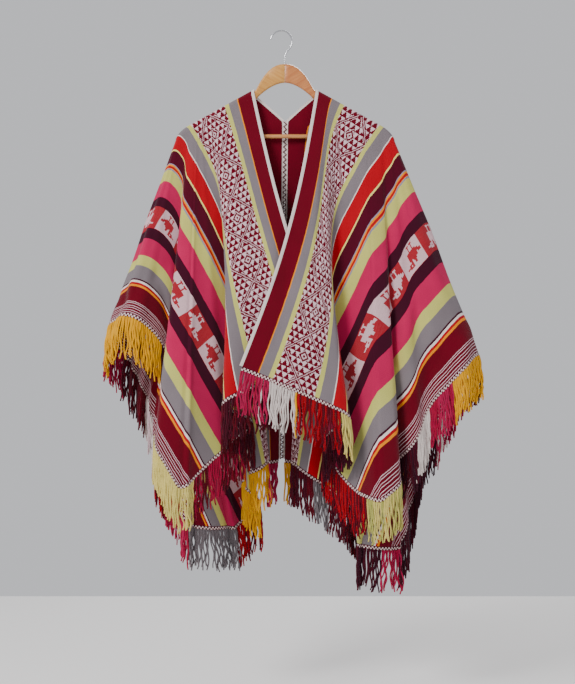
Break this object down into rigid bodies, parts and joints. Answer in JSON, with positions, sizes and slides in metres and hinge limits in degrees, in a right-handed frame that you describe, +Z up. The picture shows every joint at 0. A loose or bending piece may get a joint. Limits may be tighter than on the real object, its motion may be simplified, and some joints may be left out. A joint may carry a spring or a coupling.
{
  "type": "ruana on a clothes hanger",
  "caption": "Open-fronted wrap of two striped, fringed wool panels joined down the back, hung on a wooden hanger with a wire hook.",
  "frame": {"origin": "inside the crown of the hanger's hook, where a rail or nail holds it", "axes": "+Z up, the open front faces -Y, +X towards the side of the front that lies on top"},
  "size_m": [0.8069, 0.2154, 1.1667],
  "materials": {
    "right_cloth": "napped wool weave in stripes",
    "left_cloth": "napped wool weave in stripes",
    "binding": "matt woven binding",
    "hem_fringe": "twisted wool yarn",
    "side_fringe": "twisted wool yarn",
    "wood": "clear satin varnish",
    "wire": "plated round wire"
  },
  "bodies": {
    "root": {"right_panel": "right_cloth", "right_neck_binding": "binding", "right_front_hem_fringe": "hem_fringe", "right_front_side_fringe": "side_fringe", "right_back_side_fringe": "side_fringe", "right_back_hem_fringe": "hem_fringe", "left_panel": "left_cloth", "left_neck_binding": "binding", "left_front_hem_fringe": "hem_fringe", "left_front_side_fringe": "side_fringe", "left_back_side_fringe": "side_fringe", "left_back_hem_fringe": "hem_fringe", "hanger_arm_right": "wood", "hanger_arm_left": "wood", "trouser_bar": "wood", "hook": "wire"}
  },
  "joints": []
}
